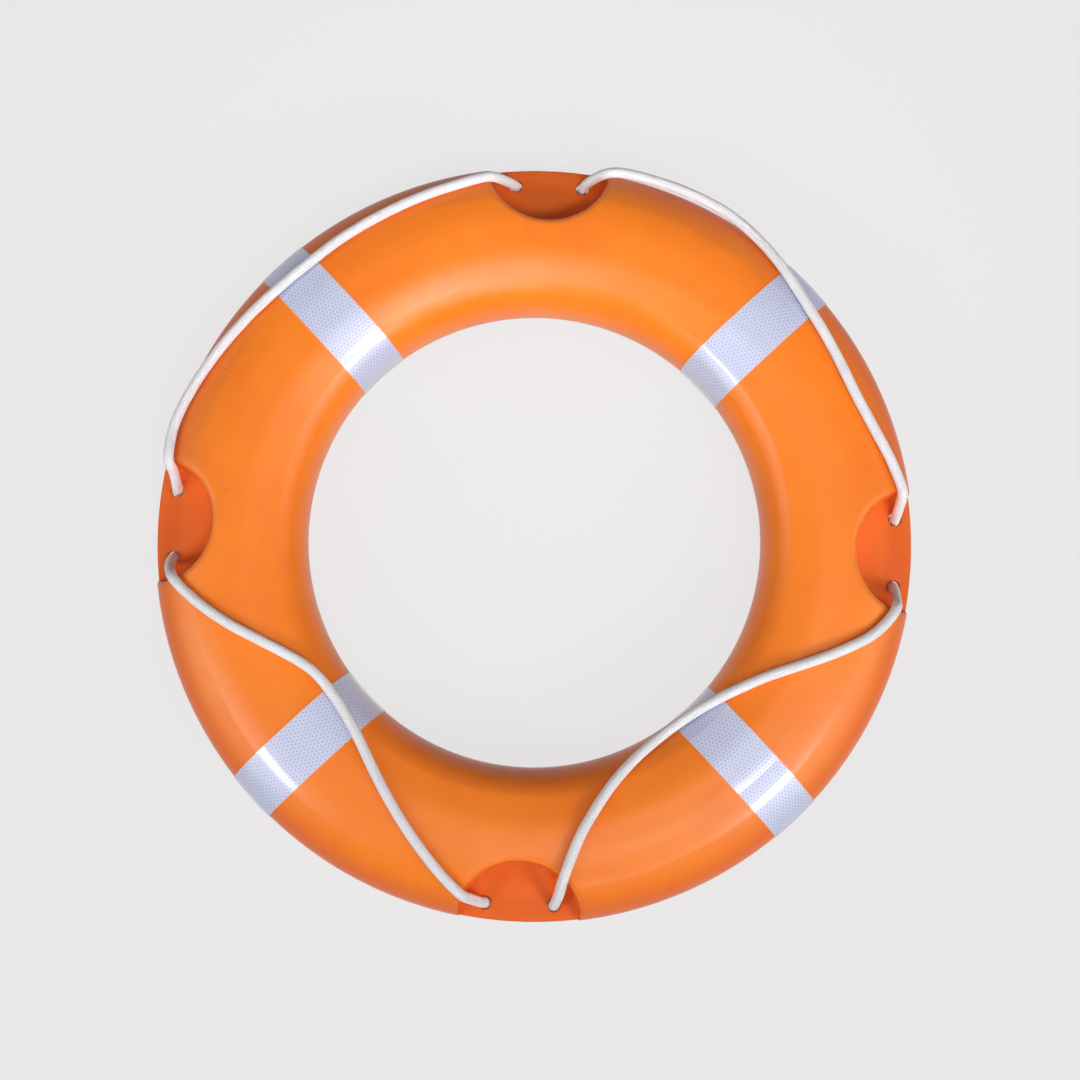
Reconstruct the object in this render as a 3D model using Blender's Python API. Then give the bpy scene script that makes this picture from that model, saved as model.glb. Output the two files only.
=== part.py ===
"""A life ring: a foam-filled shell in two moulded halves, four reflective bands and a grab line.

The ring lies flat with its axis along Z and the photographed face up. Z = 0 is the plane that it
rests on. A notch is cut into the rim on each of the axes +Y, +X, -Y and -X, and a flange at half
height closes each notch and holds the line. Lengths are in metres.
"""

import math

import bmesh
import bpy
import numpy as np
from mathutils import Matrix, Vector

mm = 0.001

# Section of the ring, from the mid plane up
outer_radius = 365 * mm
inner_radius = 220 * mm
crown_height = 54 * mm
crown_flat = 16 * mm
outer_rim_height = 5 * mm
inner_rim_height = 3 * mm
outer_shoulder = 37.5 * mm
inner_shoulder = 22.5 * mm
outer_crease_drop = 5 * mm
inner_crease_drop = 8 * mm
crown_slope_outer = math.radians(15)
crown_slope_inner = math.radians(17)
shoulder_slope_outer = math.radians(28)
shoulder_slope_inner = math.radians(30)
shell_wall = 2 * mm

# Gaps that touching pieces keep
seam_gap = 0.3 * mm
foam_gap = 0.5 * mm
band_gap = 0.3 * mm
plug_gap = 0.3 * mm

# Notches in the rim, each closed by a flange at half height
notch_count = 4
notch_radius = 56 * mm
notch_draft = math.radians(8)
notch_fillet = 7 * mm
flange_half = 4 * mm
flange_edge_round = 2.5 * mm
flange_edge_inset = 0.2 * mm
flange_seat = 0.3 * mm

# Holes that the grab line passes, two in each flange
line_radius = 5 * mm
hole_clearance = 1.3 * mm
hole_bevel = 1 * mm
hole_inset = 15.6 * mm
hole_spacing = 65.6 * mm

# Reflective bands, half way between the notches
band_width = 50 * mm
band_thickness = 0.4 * mm
band_lap_gap = 0.3 * mm

# Foam ports on the underside
port_radius = 9 * mm
port_head_radius = 12.5 * mm
port_head_depth = 1.2 * mm
port_head_sink = 0.2 * mm
filler_angle = math.radians(112)
vent_angle = math.radians(292)

# Held stretches of the line, under the flanges
bight_bend = 17 * mm
tail_length = 17 * mm
knot_radius = 14 * mm
knot_height = 26 * mm

# Fineness of the curved faces
merge_reach = 0.01 * mm
slope_reach = 0.2 * mm
skin_steps = (4, 2, 1, 1, 3)
skin_fillet_steps = 2
skin_top_columns = 8
lining_steps = (2, 1, 1, 1, 1)
lining_fillet_steps = 1
lining_top_columns = 6
band_columns = 4
lining_band_columns = 2
flange_steps = 10
flange_rim_steps = 6
hole_sides = 12
port_sides = 16
loop_samples = 30
end_density = 0.6
curve_steps = 12
quarter = math.tau / notch_count
band_zone = math.radians(7.5)
side_end = math.radians(60)
joint_base = 1 * mm

mid_height = crown_height + band_gap + band_thickness
crown_radius = (outer_radius - outer_shoulder + inner_radius + inner_shoulder) / 2
hole_radius = line_radius + hole_clearance
hole_row = outer_radius - hole_inset
hole_angle = math.asin(hole_spacing / 2 / hole_row)

ORANGE = (0.86, 0.17, 0.016, 1)
SILVER = (0.47, 0.47, 0.56, 1)
WHITE = (0.84, 0.83, 0.87, 1)
CREAM = (0.78, 0.66, 0.40, 1)

# Grab line, from the photograph: points of the four free loops in millimetres, seen from above with
# the mid plane as height 0. Each loop starts and ends in a hole, which adds its own points.
loop_routes = {
    "grab_line_loop_1": (
        (38.2, 352, 11.3), (49.3, 356.1, 20.5), (57, 357.2, 27.1), (60.6, 357.3, 28.3),
        (68.5, 357.9, 27.2), (86.3, 355.9, 24.9), (117.3, 348.2, 24), (139.5, 339.5, 26.1),
        (164, 328.1, 26.5), (181.4, 316.7, 28.3), (201.8, 298.1, 33.2), (220.4, 275.6, 39.8),
        (235, 253.7, 45.8), (250.9, 227.5, 50.3), (265.3, 204.7, 51.6), (281.8, 175, 53),
        (298.3, 143, 53.2), (315.6, 113.8, 50.8), (331.6, 87.7, 46.6), (342.9, 65.8, 42.1),
        (345.9, 58.6, 41.2), (347.4, 54.7, 38.6), (348.7, 50.2, 28.4), (348.5, 38, 11.4),
    ),
    "grab_line_loop_2": (
        (347.4, -37.5, 11.7), (345.5, -48.7, 29.3), (343.8, -53.3, 40.4), (341.5, -57.3, 44.2),
        (334.4, -66.7, 48.1), (320.3, -80.1, 53.3), (302.7, -90.5, 57.8), (276.3, -102.6, 59.8),
        (249.3, -113, 58.8), (222.4, -123.4, 55.4), (197.5, -135.4, 51), (177.3, -146.7, 44.6),
        (151.9, -163.4, 38.7), (129.8, -180.5, 37.7), (108.2, -199.3, 42), (89.6, -218.9, 49.3),
        (75, -238.6, 54.1), (58.3, -266.7, 59.4), (49.8, -285.8, 59.8), (41.4, -310.7, 59),
        (39.7, -317, 56.4), (38.7, -320.5, 52.4), (37.2, -332.1, 33.7), (33.6, -345.4, 11.7),
    ),
    "grab_line_loop_3": (
        (-36.4, -346.7, 11.1), (-45.5, -341.3, 29.2), (-50.9, -337.4, 45.7),
        (-53.1, -335.6, 48.5), (-58, -331.4, 51.1), (-73.5, -315.9, 55.4), (-89.7, -297.1, 58.4),
        (-109.1, -271.6, 59.7), (-125.7, -246.7, 59.1), (-140.4, -221.8, 56.7),
        (-157.8, -190.4, 53.8), (-175.9, -162.9, 52.3), (-192.5, -142.9, 52.5),
        (-207.1, -131, 53.5), (-230.8, -118.4, 56.5), (-253.4, -108, 59.1), (-281.3, -94.6, 59.5),
        (-304.5, -80.6, 58), (-321.1, -68.4, 54), (-334, -57.3, 50.2), (-338, -53, 46.5),
        (-340.3, -50.5, 40), (-346.2, -43, 22.2), (-347.8, -36.5, 11.2),
    ),
    "grab_line_loop_4": (
        (-347.2, 38.2, 11.2), (-347.7, 50.1, 27.3), (-349.2, 53.6, 35.8), (-350, 58.6, 39.6),
        (-349.8, 66.5, 38.6), (-349.4, 78.5, 36), (-346.1, 95.1, 35.3), (-336.2, 118, 36.7),
        (-321.3, 143.8, 39.9), (-302.9, 169.8, 43.5), (-283.2, 193.5, 46.6),
        (-261.7, 215.6, 49.7), (-240, 236.2, 51.4), (-216.8, 256.9, 51.5), (-194, 276.3, 49.9),
        (-167.8, 294.6, 48.8), (-139.2, 311.1, 47.9), (-111.4, 324.8, 46.2), (-81.8, 336.6, 43.9),
        (-62.9, 343, 42.8), (-55.8, 344.6, 41.2), (-53.3, 345.4, 38.3), (-48, 347.2, 27.5),
        (-37.6, 347.9, 11.7),
    ),
}


def clear_scene():
    for item in list(bpy.data.objects):
        bpy.data.objects.remove(item, do_unlink=True)


def material(name, colour, roughness, metallic=0.0):
    """One plain finish for a sub-part."""
    finish = bpy.data.materials.new(name)
    finish.use_nodes = True
    shader = finish.node_tree.nodes["Principled BSDF"]
    shader.inputs["Base Color"].default_value = colour
    shader.inputs["Roughness"].default_value = roughness
    shader.inputs["Metallic"].default_value = metallic
    return finish


def add_object(name, data, finish=None):
    item = bpy.data.objects.new(name, data)
    bpy.context.scene.collection.objects.link(item)
    if finish:
        data.materials.append(finish)
    return item


def to_mesh(bm, name):
    """Turn a bmesh into a smooth-shaded mesh whose faces point outwards."""
    bmesh.ops.recalc_face_normals(bm, faces=bm.faces)
    mesh = bpy.data.meshes.new(name)
    bm.to_mesh(mesh)
    bm.free()
    mesh.shade_smooth()
    mesh.set_sharp_from_angle(angle=math.radians(35))
    return mesh


def add_cutter(name, mesh):
    """A guide that only shapes another piece."""
    cutter = add_object(name, mesh)
    cutter.hide_render = True
    cutter.display_type = "WIRE"
    return cutter


def combine(item, operand, operation):
    step = item.modifiers.new(operand.name, "BOOLEAN")
    step.operation = operation
    step.object = operand
    step.solver = "EXACT"


def bezier(start, start_handle, end_handle, end, steps):
    """Points and directions along one cubic curve, without its first point."""
    corners = np.array([start, start_handle, end_handle, end])
    points = []
    for step in range(1, steps + 1):
        t = step / steps
        s = 1 - t
        place = np.array([s**3, 3 * s * s * t, 3 * s * t * t, t**3]) @ corners
        weights = np.array([s * s, 2 * s * t, t * t])
        way = weights @ np.diff(corners, axis=0)
        points.append((place, way / np.linalg.norm(way)))
    return points


def section(inset, steps):
    """The upper half of the ring's section, from the outer rim to the inner rim.

    Each row is (radius, height over the mid plane). A positive inset moves the line into the ring,
    and a negative one lifts it off the surface.
    """
    crease_outer = np.array([outer_radius - outer_shoulder, crown_height - outer_crease_drop])
    crease_inner = np.array([inner_radius + inner_shoulder, crown_height - inner_crease_drop])
    flat_outer = np.array([crown_radius + crown_flat / 2, crown_height])
    flat_inner = np.array([crown_radius - crown_flat / 2, crown_height])
    rim_outer = np.array([outer_radius, outer_rim_height])
    rim_inner = np.array([inner_radius, inner_rim_height])
    up = np.array([0.0, 1.0])
    inward = np.array([-1.0, 0.0])

    def lean(angle, along):
        return np.array([along * math.cos(angle), -math.sin(angle)])

    rise_outer = crease_outer[1] - rim_outer[1]
    rise_inner = crease_inner[1] - rim_inner[1]
    run_outer = crease_outer[0] - flat_outer[0]
    run_inner = flat_inner[0] - crease_inner[0]
    curves = (
        (
            rim_outer,
            rim_outer + up * 0.55 * rise_outer,
            crease_outer + lean(shoulder_slope_outer, 1) * 0.45 * outer_shoulder,
            crease_outer,
        ),
        (
            crease_outer,
            crease_outer - lean(crown_slope_outer, 1) * run_outer / 3,
            flat_outer - inward * run_outer / 3,
            flat_outer,
        ),
        (
            flat_outer,
            flat_outer + (flat_inner - flat_outer) / 3,
            flat_inner - (flat_inner - flat_outer) / 3,
            flat_inner,
        ),
        (
            flat_inner,
            flat_inner + inward * run_inner / 3,
            crease_inner - lean(crown_slope_inner, -1) * run_inner / 3,
            crease_inner,
        ),
        (
            crease_inner,
            crease_inner + lean(shoulder_slope_inner, -1) * 0.45 * inner_shoulder,
            rim_inner + up * 0.6 * rise_inner,
            rim_inner,
        ),
    )
    points = [(rim_outer, up)]
    for curve, count in zip(curves, steps):
        first_way = curve[1] - curve[0]
        last_place, last_way = points[-1]
        points[-1] = (last_place, last_way + first_way / np.linalg.norm(first_way))
        points += bezier(*curve, count)
    line = []
    for place, way in points:
        way = way / np.linalg.norm(way)
        outward = np.array([way[1], -way[0]])
        line.append(place - outward * inset)
    return np.array(line)


class Skin:
    """A surface that follows the upper half of the ring at a constant depth under its face."""

    def __init__(self, inset, steps, fillet_steps, top_columns, strip_columns):
        self.inset = inset
        self.top_columns = top_columns
        self.strip_columns = strip_columns
        self.line = section(inset, steps)
        fine = section(inset, tuple(curve_steps * count for count in steps))
        self.radii = fine[::-1, 0]
        self.heights = fine[::-1, 1]
        self.rim = self.line[0, 0]
        self.wall_radius = notch_radius + inset
        self.fillet_steps = fillet_steps
        width = self.rim - self.line[-1, 0]
        self.depths = self.rim - self.line[:, 0]
        self.first_depth = self.wall_radius + crown_height * math.tan(notch_draft) + notch_fillet
        self.row_depths = [d for d in self.depths if d > self.first_depth + notch_fillet]
        self.straight_until = 0.7 * self.wall_radius
        self.side_depth = self.depth_at(self.wall_radius, side_end)
        self.width = width

    def height(self, depth):
        return float(np.interp(self.rim - depth, self.radii, self.heights))

    def depth_at(self, distance, angle):
        """Depth from the rim of a point seen from the notch's centre, which lies on the rim."""
        square = outer_radius**2 + distance**2 - 2 * outer_radius * distance * math.sin(angle)
        return self.rim - math.sqrt(square)

    def turn_at(self, distance, depth):
        """Angle round the ring of the point at a distance from the notch's centre and a depth."""
        radius = self.rim - depth
        rise = (outer_radius**2 + distance**2 - radius**2) / (2 * outer_radius * distance)
        rise = min(1.0, rise)
        across = distance * math.sqrt(1 - rise * rise)
        return math.atan2(across, outer_radius - distance * rise)

    def column(self, wall_depth, spread, end_turn, end_depth):
        """One line of points up the notch's wall, round its fillet and over the ring."""
        tangent = math.tan(notch_draft)

        def depth_of(distance):
            return wall_depth + spread * (distance - self.wall_radius)

        def height_of(distance):
            return self.height(depth_of(distance))

        top = height_of(self.wall_radius + notch_fillet)
        fillet = min(notch_fillet, 0.35 * top)
        touch = self.wall_radius + fillet
        for _ in range(40):
            rise = height_of(touch + slope_reach) - height_of(touch - slope_reach)
            slope = rise / (2 * slope_reach)
            length = math.hypot(1, slope)
            centre_z = height_of(touch) - fillet / length
            centre_d = self.wall_radius + centre_z * tangent + fillet / math.cos(notch_draft)
            touch += 0.5 * (centre_d - fillet * slope / length - touch)
        places = [(self.wall_radius + joint_base * tangent, joint_base)]
        begin = math.pi - notch_draft
        finish = math.pi / 2 + math.atan(slope)
        for step in range(self.fillet_steps + 1):
            angle = begin + (finish - begin) * step / self.fillet_steps
            distance = centre_d + fillet * math.cos(angle)
            places.append((distance, centre_z + fillet * math.sin(angle)))
        points = []
        for distance, level in places:
            depth = depth_of(distance)
            points.append((self.turn_at(distance, depth), self.rim - depth, level))
        last_turn = points[-1][0]
        last_depth = depth_of(places[-1][0])
        rows = len(self.row_depths)
        for row, row_depth in enumerate(self.row_depths, start=1):
            share = row / rows
            turn = last_turn + (end_turn - last_turn) * share
            if end_depth < self.width:
                depth_share = (row_depth - self.first_depth) / (self.width - self.first_depth)
                depth = last_depth + (end_depth - last_depth) * depth_share
            else:
                depth = row_depth
            points.append((turn, self.rim - depth, self.height(depth)))
        return points

    def half_columns(self):
        """Columns from the rim beside the notch to the middle of the notch."""
        edge = quarter / 2 - band_zone
        columns = []
        for depth in self.depths:
            excess = max(0.0, depth - self.straight_until)
            share = excess / (self.width - self.straight_until)
            wall_depth = min(depth, self.straight_until)
            wall_depth += share * (self.side_depth - self.straight_until)
            lift = min(1.0, max(0.0, wall_depth / self.straight_until - 0.4) / 0.6)
            rise = (wall_depth + self.inset) / self.wall_radius
            spread = lift * min(1.0, rise)
            columns.append(self.column(wall_depth, spread, edge, depth))
        half = self.top_columns // 2
        for index in range(1, half + 1):
            angle = side_end + (math.pi / 2 - side_end) * index / half
            wall_depth = self.depth_at(self.wall_radius, angle)
            turn = edge * (1 - index / half)
            columns.append(self.column(wall_depth, math.sin(angle), turn, self.width))
        return columns

    def surface(self):
        """The whole upper face as a bmesh: bent grids, one at each notch and one at each band."""
        half = self.half_columns()
        mirrored = [[(-turn, radius, level) for turn, radius, level in column] for column in half]
        columns = mirrored + half[-2::-1]
        edge = quarter / 2 - band_zone
        strip = []
        steps = self.strip_columns
        for radius, level in self.line:
            turns = [edge + 2 * band_zone * step / steps for step in range(steps + 1)]
            strip.append([(turn, radius, level) for turn in turns])
        bm = bmesh.new()
        for index in range(notch_count):
            for grid in (columns, strip):
                bend_grid(bm, grid, index * quarter)
        bmesh.ops.remove_doubles(bm, verts=bm.verts, dist=merge_reach)
        return bm


def drop_edges(bm, base):
    """Extrude every open edge straight down to a level, and return the new open edges."""
    edges = [edge for edge in bm.edges if edge.is_boundary]
    made = bmesh.ops.extrude_edge_only(bm, edges=edges)
    for item in made["geom"]:
        if isinstance(item, bmesh.types.BMVert):
            item.co.z = base
    return [edge for edge in bm.edges if edge.is_boundary]


def half_shell():
    """One hollow half: its face and its lining, joined by a flat seam along both rims."""
    bm = Skin(0, skin_steps, skin_fillet_steps, skin_top_columns, band_columns).surface()
    lining = make_lining(shell_wall).surface()
    holder = bpy.data.meshes.new("lining")
    lining.to_mesh(holder)
    lining.free()
    bm.from_mesh(holder)
    bpy.data.meshes.remove(holder)
    seam = drop_edges(bm, seam_gap / 2)
    inner = []
    outer = []
    for edge in seam:
        loop = inner if edge.verts[0].co.xy.length < crown_radius else outer
        loop.append(edge)
    for loop in (inner, outer):
        bmesh.ops.triangle_fill(bm, edges=loop, use_beauty=True, normal=(0, 0, -1))
    return bm


def bend_grid(bm, columns, turn):
    """Add a grid whose vertices take the given (angle, radius, height) places."""
    across = len(columns) - 1
    along = len(columns[0]) - 1
    made = bmesh.ops.create_grid(bm, x_segments=across, y_segments=along, size=1)
    for vert in made["verts"]:
        column = round((vert.co.x + 1) / 2 * across)
        row = round((vert.co.y + 1) / 2 * along)
        angle, radius, level = columns[column][row]
        angle += turn
        vert.co = (radius * math.sin(angle), radius * math.cos(angle), level)


def ring_point(angle, radius, level):
    """A point by its angle from +Y towards +X, as seen from above."""
    return Vector((radius * math.sin(angle), radius * math.cos(angle), level))


def lathe(profile, sides, places):
    """Closed round solids of one profile, which runs from the axis, at its foot, back to the axis."""
    bm = bmesh.new()
    verts = [bm.verts.new((radius, 0, level)) for radius, level in profile]
    edges = [bm.edges.new(pair) for pair in zip(verts, verts[1:])]
    bmesh.ops.spin(
        bm,
        geom=verts + edges,
        axis=(0, 0, 1),
        cent=(0, 0, 0),
        steps=sides,
        angle=math.tau,
        use_merge=True,
    )
    bmesh.ops.remove_doubles(bm, verts=bm.verts, dist=merge_reach)
    first = bm.verts[:] + bm.edges[:] + bm.faces[:]
    for place in places[1:]:
        made = bmesh.ops.duplicate(bm, geom=first)
        copied = [item for item in made["geom"] if isinstance(item, bmesh.types.BMVert)]
        bmesh.ops.translate(bm, verts=copied, vec=place)
    own = [item for item in first if isinstance(item, bmesh.types.BMVert)]
    bmesh.ops.translate(bm, verts=own, vec=places[0])
    return bm


def hole_places():
    """Centres of the rope holes, two at each notch, clockwise from +Y."""
    places = []
    for index in range(notch_count):
        for sign in (-1, 1):
            place = ring_point(index * quarter + sign * hole_angle, hole_row, 0)
            places.append(place)
    return places


def flange_plates():
    """Four flat plates at half height that close the notches, with a rounded outer edge."""
    reach = notch_radius + shell_wall / 2
    edge_radius = outer_radius - flange_edge_inset
    start_rise = (outer_radius**2 + reach**2 - edge_radius**2) / (2 * outer_radius * reach)
    start = math.asin(start_rise)
    bm = bmesh.new()
    for index in range(notch_count):
        outline = []
        for step in range(flange_steps + 1):
            angle = start + (math.pi - 2 * start) * step / flange_steps
            x = reach * math.cos(angle)
            y = outer_radius - reach * math.sin(angle)
            outline.append((math.atan2(x, y), math.hypot(x, y)))
        wide = outline[0][0]
        for step in range(1, flange_rim_steps):
            outline.append((-wide + 2 * wide * step / flange_rim_steps, edge_radius))
        verts = [bm.verts.new(ring_point(a + index * quarter, r, flange_seat)) for a, r in outline]
        face = bm.faces.new(verts)
        made = bmesh.ops.extrude_face_region(bm, geom=[face])
        raised = [item for item in made["geom"] if isinstance(item, bmesh.types.BMVert)]
        bmesh.ops.translate(bm, verts=raised, vec=(0, 0, flange_half - flange_seat))
        rim = []
        for edge in bm.edges:
            radii = [vert.co.xy.length for vert in edge.verts]
            levels = [vert.co.z for vert in edge.verts]
            near = [vert in raised for vert in edge.verts]
            on_rim = min(radii) > edge_radius - merge_reach
            if all(near) and on_rim and min(levels) > flange_half / 2:
                rim.append(edge)
        bmesh.ops.bevel(
            bm,
            geom=rim,
            offset=flange_edge_round,
            offset_type="OFFSET",
            segments=2,
            profile=0.5,
            affect="EDGES",
            material=-1,
        )
    return bm


def hole_cutters():
    """Eight round cutters with a bevelled mouth at the flange's face."""
    mouth = hole_radius + 2 * hole_bevel
    profile = (
        (0, -hole_bevel),
        (hole_radius, -hole_bevel),
        (hole_radius, flange_half - hole_bevel),
        (mouth, flange_half + hole_bevel),
        (0, flange_half + hole_bevel),
    )
    return lathe(profile, hole_sides, hole_places())


def port_profile(clearance, foot, head):
    """Profile of a port or of its plug, from the wall's inner side out to the face."""
    return (
        (0, foot),
        (port_radius - clearance, foot),
        (port_radius - clearance, crown_height - port_head_depth + clearance),
        (port_head_radius - clearance, crown_height - port_head_depth + clearance),
        (port_head_radius - clearance, head),
        (0, head),
    )


def port_cutters():
    low = crown_height - shell_wall - foam_gap / 2
    high = crown_height + port_head_depth
    places = [ring_point(angle, crown_radius, 0) for angle in (filler_angle, vent_angle)]
    return lathe(port_profile(0, low, high), port_sides, places)


def set_height(item, side):
    """Put a piece that is drawn over the mid plane in its place, on the upper or lower side."""
    for vert in item.data.vertices:
        vert.co.z = mid_height + side * vert.co.z
    if side < 0:
        item.data.flip_normals()


def make_lining(inset):
    """The plainer face of the space inside the shell, or of the foam in it."""
    columns = (lining_top_columns, lining_band_columns)
    return Skin(inset, lining_steps, lining_fillet_steps, *columns)


def make_shell(name, side, finish):
    """One half shell with its flanges, rope holes and, on the underside, foam ports."""
    shell = add_object(name, to_mesh(half_shell(), name), finish)
    steps = [
        ("flanges", flange_plates(), "UNION"),
        ("holes", hole_cutters(), "DIFFERENCE"),
    ]
    if side < 0:
        steps.append(("ports", port_cutters(), "DIFFERENCE"))
    set_height(shell, side)
    for label, bm, operation in steps:
        cutter = add_cutter(f"{name}_{label}", to_mesh(bm, label))
        set_height(cutter, side)
        combine(shell, cutter, operation)
    return shell


def make_foam(finish):
    """The foam that fills both halves, a little smaller than the space inside them."""
    bm = make_lining(shell_wall + foam_gap).surface()
    drop_edges(bm, 0)
    whole = bm.verts[:] + bm.edges[:] + bm.faces[:]
    bmesh.ops.mirror(bm, geom=whole, axis="Z", merge_dist=merge_reach)
    foam = add_object("foam_core", to_mesh(bm, "foam_core"), finish)
    set_height(foam, 1)


def make_plugs(finish):
    low = crown_height - shell_wall
    for name, angle in (("filler_plug", filler_angle), ("vent_plug", vent_angle)):
        profile = port_profile(plug_gap, low, crown_height - port_head_sink)
        bm = lathe(profile, port_sides, [ring_point(angle, crown_radius, 0)])
        plug = add_object(name, to_mesh(bm, name), finish)
        set_height(plug, -1)


def band_line():
    """Inner side of a band round the whole section, as (radius, height, lift) from start to end.

    It starts low on the outer shoulder of the underside, goes once round and laps its own start.
    """
    upper = section(-band_gap, skin_steps)
    lower = [(radius, -level) for radius, level in upper]
    start = skin_steps[0]
    loop = lower[start::-1] + [tuple(point) for point in upper] + lower[:start - 1:-1]
    lap = section(-band_gap - band_thickness - band_lap_gap, skin_steps)
    lap = [(radius, -level) for radius, level in lap]
    return loop, lap[start:start - 3:-1]


def make_band(name, angle, finish):
    """A flat strip with parallel edges, wrapped once round the section with its end lapped."""
    loop, lap = band_line()
    inside = loop[:-1] + [(radius, level) for radius, level in lap]
    outside = []
    for index, (radius, level) in enumerate(inside):
        before = inside[max(0, index - 1)]
        after = inside[min(len(inside) - 1, index + 1)]
        way = np.array(after) - np.array(before)
        way = way / np.linalg.norm(way)
        outside.append((radius + way[1] * band_thickness, level - way[0] * band_thickness))
    bm = bmesh.new()
    sheets = []
    for line in (inside, outside):
        made = bmesh.ops.create_grid(bm, x_segments=band_columns, y_segments=len(line) - 1, size=1)
        for vert in made["verts"]:
            across = vert.co.x * band_width / 2
            radius, level = line[round((vert.co.y + 1) / 2 * (len(line) - 1))]
            vert.co = (across, math.sqrt(radius**2 - across**2), level)
        sheets.append(made["verts"])
    edges = [edge for edge in bm.edges if edge.is_boundary]
    bmesh.ops.bridge_loops(bm, edges=edges)
    bmesh.ops.rotate(bm, verts=bm.verts, cent=(0, 0, 0), matrix=Matrix.Rotation(-angle, 3, "Z"))
    band = add_object(name, to_mesh(bm, name), finish)
    set_height(band, 1)


def smooth_path(points, samples):
    """Points on one smooth curve through the given ones, closest together near both ends."""
    points = [Vector(point) for point in points]
    fine = []
    for a, b, c, d in zip(points, points[1:], points[2:], points[3:]):
        for step in range(curve_steps):
            t = step / curve_steps
            bend = 2 * a - 5 * b + 4 * c - d
            turn = 3 * b - a - 3 * c + d
            fine.append((2 * b + (c - a) * t + bend * t**2 + turn * t**3) / 2)
    fine.append(points[-2])
    run = [0.0]
    for before, after in zip(fine, fine[1:]):
        run.append(run[-1] + (after - before).length)
    share = np.linspace(0, 1, samples)
    wanted = run[-1] * (share - end_density * np.sin(math.tau * share) / math.tau)
    columns = [np.interp(wanted, run, [point[axis] for point in fine]) for axis in range(3)]
    return [points[0]] + [Vector(place) for place in zip(*columns)] + [points[-1]]


def make_line(name, path, finish):
    """A round tube with closed ends along a path over the mid plane."""
    data = bpy.data.curves.new(name, "CURVE")
    data.dimensions = "3D"
    data.bevel_depth = line_radius
    data.bevel_resolution = 2
    data.use_fill_caps = True
    spline = data.splines.new("POLY")
    spline.points.add(len(path) - 1)
    for point, place in zip(spline.points, path):
        point.co = (place[0], place[1], mid_height + place[2], 1)
    spline.use_smooth = True
    return add_object(name, data, finish)


def make_loops(finish):
    """The free stretches, each from the middle of one hole to the middle of the next."""
    holes = hole_places()
    low = seam_gap / 2
    for index, (name, route) in enumerate(loop_routes.items()):
        first = holes[2 * index + 1]
        last = holes[(2 * index + 2) % len(holes)]
        points = [(first.x, first.y, low), (first.x, first.y, flange_half)]
        points += [Vector(point) * mm for point in route]
        points += [(last.x, last.y, flange_half), (last.x, last.y, low)]
        make_line(name, smooth_path(points, loop_samples), finish)


def make_bights(finish):
    """The held stretches: from hole to hole under the flange, in three of the notches."""
    holes = hole_places()
    for number, notch in enumerate((0, 1, 3), start=1):
        first, last = holes[2 * notch], holes[2 * notch + 1]
        along = (last - first).normalized()
        turn_level = -flange_half - line_radius / 2
        points = [first + Vector((0, 0, -seam_gap / 2)), first + Vector((0, 0, turn_level))]
        for step in range(1, 4):
            angle = math.pi / 2 * step / 3
            shift = bight_bend * (1 - math.cos(angle))
            drop = turn_level - bight_bend * math.sin(angle)
            points.append(first + along * shift + Vector((0, 0, drop)))
        back = []
        for point in points:
            run = (point - first).dot(along)
            back.append(last - along * run + Vector((0, 0, point.z)))
        make_line(f"grab_line_bight_{number}", points + back[::-1], finish)


def make_tails(finish):
    """The two ends of the line at the notch on -Y, each with a stopper knot under its hole."""
    holes = hole_places()
    for number, place in enumerate(holes[4:6], start=1):
        top = place + Vector((0, 0, -seam_gap / 2))
        foot = place + Vector((0, 0, -tail_length))
        middle = (top + foot) / 2
        make_line(f"grab_line_tail_{number}", [top, middle, foot], finish)
        profile = [(0, 0)]
        for step in range(1, 6):
            angle = math.pi * step / 6
            profile.append((knot_radius * math.sin(angle), knot_height / 2 * (1 - math.cos(angle))))
        profile.append((0, knot_height))
        bm = lathe(profile, 12, [place + Vector((0, 0, -tail_length - seam_gap - knot_height))])
        knot = add_object(f"stopper_knot_{number}", to_mesh(bm, "stopper_knot"), finish)
        set_height(knot, 1)


def main():
    clear_scene()
    plastic = material("orange_polyethylene", ORANGE, 0.42)
    foam = material("closed_cell_foam", CREAM, 0.9)
    tape = material("retroreflective_tape", SILVER, 0.3)
    rope = material("white_braided_line", WHITE, 0.75)
    make_shell("shell_upper", 1, plastic)
    make_shell("shell_lower", -1, plastic)
    make_foam(foam)
    make_plugs(plastic)
    for number in range(notch_count):
        make_band(f"tape_band_{number + 1}", (number + 0.5) * quarter, tape)
    make_loops(rope)
    make_bights(rope)
    make_tails(rope)


main()
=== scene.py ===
# %% [markdown]
# # Dressing a life ring
#
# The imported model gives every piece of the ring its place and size. This file gives the pieces
# their looks: a moulded plastic shell with soft fillets, silver honeycomb tape and a braided line.
# Lengths are in metres, and the ring lies flat with its axis along Z, the face with the line up.

import math

import bmesh
import bpy
import numpy as np
from mathutils import Matrix, Vector


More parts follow.
